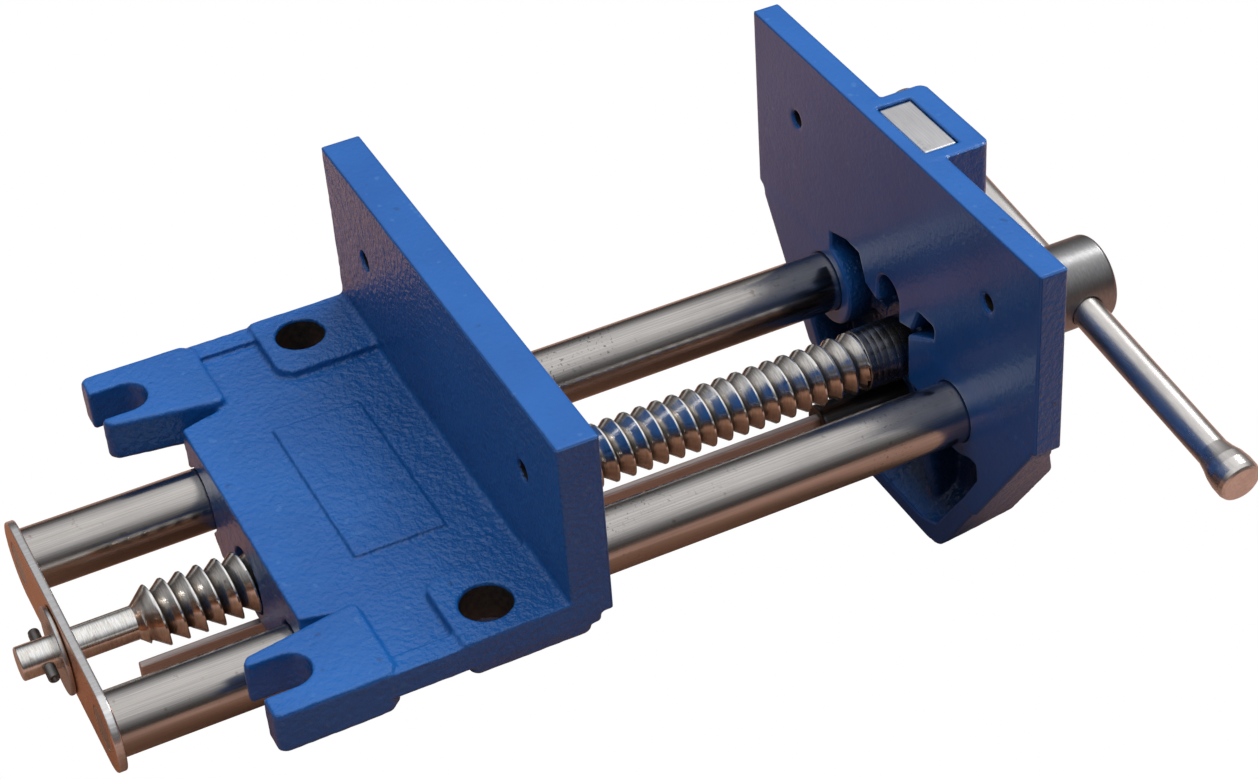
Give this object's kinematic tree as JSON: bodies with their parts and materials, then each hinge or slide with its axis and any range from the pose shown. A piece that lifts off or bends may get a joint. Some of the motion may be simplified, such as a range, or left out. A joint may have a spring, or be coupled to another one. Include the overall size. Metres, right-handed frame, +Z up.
{
  "type": "woodworking vise",
  "caption": "Quick-release woodworking bench vise with two guide rods, a lead screw, a sliding handle and a pop-up dog, for mounting under a bench top.",
  "frame": {"origin": "midpoint between the two round bench bolt holes, on the bench mounting face", "axes": "+X across the jaws, +Y from the front jaw towards the tie plate, +Z up to the jaw tops; the handle is at -Y"},
  "size_m": [0.2169, 0.3885, 0.1516],
  "materials": {
    "cast_paint": "semi-gloss enamel over as-cast iron, machined faces smooth",
    "ground_steel": "drawn bar with fine lengthwise marks",
    "thread_steel": "cut saw-tooth thread",
    "plated_steel": "bright plating",
    "zinc_steel": "bright zinc",
    "rolled_steel": "flat mill finish",
    "dog_steel": "ground flat",
    "spring_steel": "hard drawn",
    "dark_steel": "blackened",
    "nut_metal": "cut thread in grey iron"
  },
  "bodies": {
    "rear_jaw": {"rear_jaw": "cast_paint", "nut_cover_plate": "dark_steel", "nut_cover_screws": "zinc_steel", "half_nut_springs": "spring_steel"},
    "front_carriage": {"front_jaw": "cast_paint", "left_guide_rod": "ground_steel", "right_guide_rod": "ground_steel", "rod_cross_pins": "zinc_steel", "tie_plate": "rolled_steel", "thrust_washer": "zinc_steel"},
    "screw": {"lead_screw": "thread_steel", "screw_head": "plated_steel", "head_pin": "zinc_steel", "tail_washer": "zinc_steel", "tail_roll_pin": "spring_steel"},
    "handle": {"handle_bar": "plated_steel", "handle_knob": "plated_steel"},
    "dog": {"bench_dog": "dog_steel", "dog_leaf_spring": "spring_steel"},
    "release": {"release_bar": "rolled_steel", "trigger_shaft": "dark_steel", "bar_rivets": "zinc_steel", "trigger_lever": "dark_steel", "lever_pin": "zinc_steel"},
    "cam": {"release_cam": "dark_steel"},
    "half_nut": {"half_nut": "nut_metal"}
  },
  "joints": [
    {"name": "jaw_slide", "type": "slide", "parent": "rear_jaw", "child": "front_carriage", "axis": [0, 1, 0], "range_m": [-0.0558, 0.1453]},
    {"name": "screw_spin", "type": "hinge", "parent": "front_carriage", "child": "screw", "pos_m": [0, -0.0345, -0.0282], "axis": [0, 1, 0], "range_deg": [-3387, 8820]},
    {"name": "handle_slide", "type": "slide", "parent": "screw", "child": "handle", "axis": [0.9921, 0, 0.1253], "range_m": [-0.079, 0.073]},
    {"name": "dog_slide", "type": "slide", "parent": "front_carriage", "child": "dog", "axis": [0, 0, 1], "range_m": [0, 0.028]},
    {"name": "release_turn", "type": "hinge", "parent": "front_carriage", "child": "release", "pos_m": [0, -0.1802, -0.0496], "axis": [0, 1, 0], "range_deg": [0, 30], "stiffness_Nm_per_rad": 0.3, "springref_deg": -40.11},
    {"name": "cam_turn", "type": "hinge", "parent": "rear_jaw", "child": "cam", "pos_m": [0, -0.0045, -0.0496], "axis": [0, 1, 0], "range_deg": [0, 30]},
    {"name": "nut_drop", "type": "slide", "parent": "rear_jaw", "child": "half_nut", "axis": [0, 0, -1], "range_m": [0, 0.00414], "deforming": ["half_nut_springs"]}
  ],
  "couplings": [
    {"joint": "jaw_slide", "follows": "screw_spin", "m_per_rad": 0.00094379},
    {"joint": "cam_turn", "follows": "release_turn", "ratio": 1},
    {"joint": "nut_drop", "follows": "release_turn", "m_per_rad": 0.007908}
  ]
}
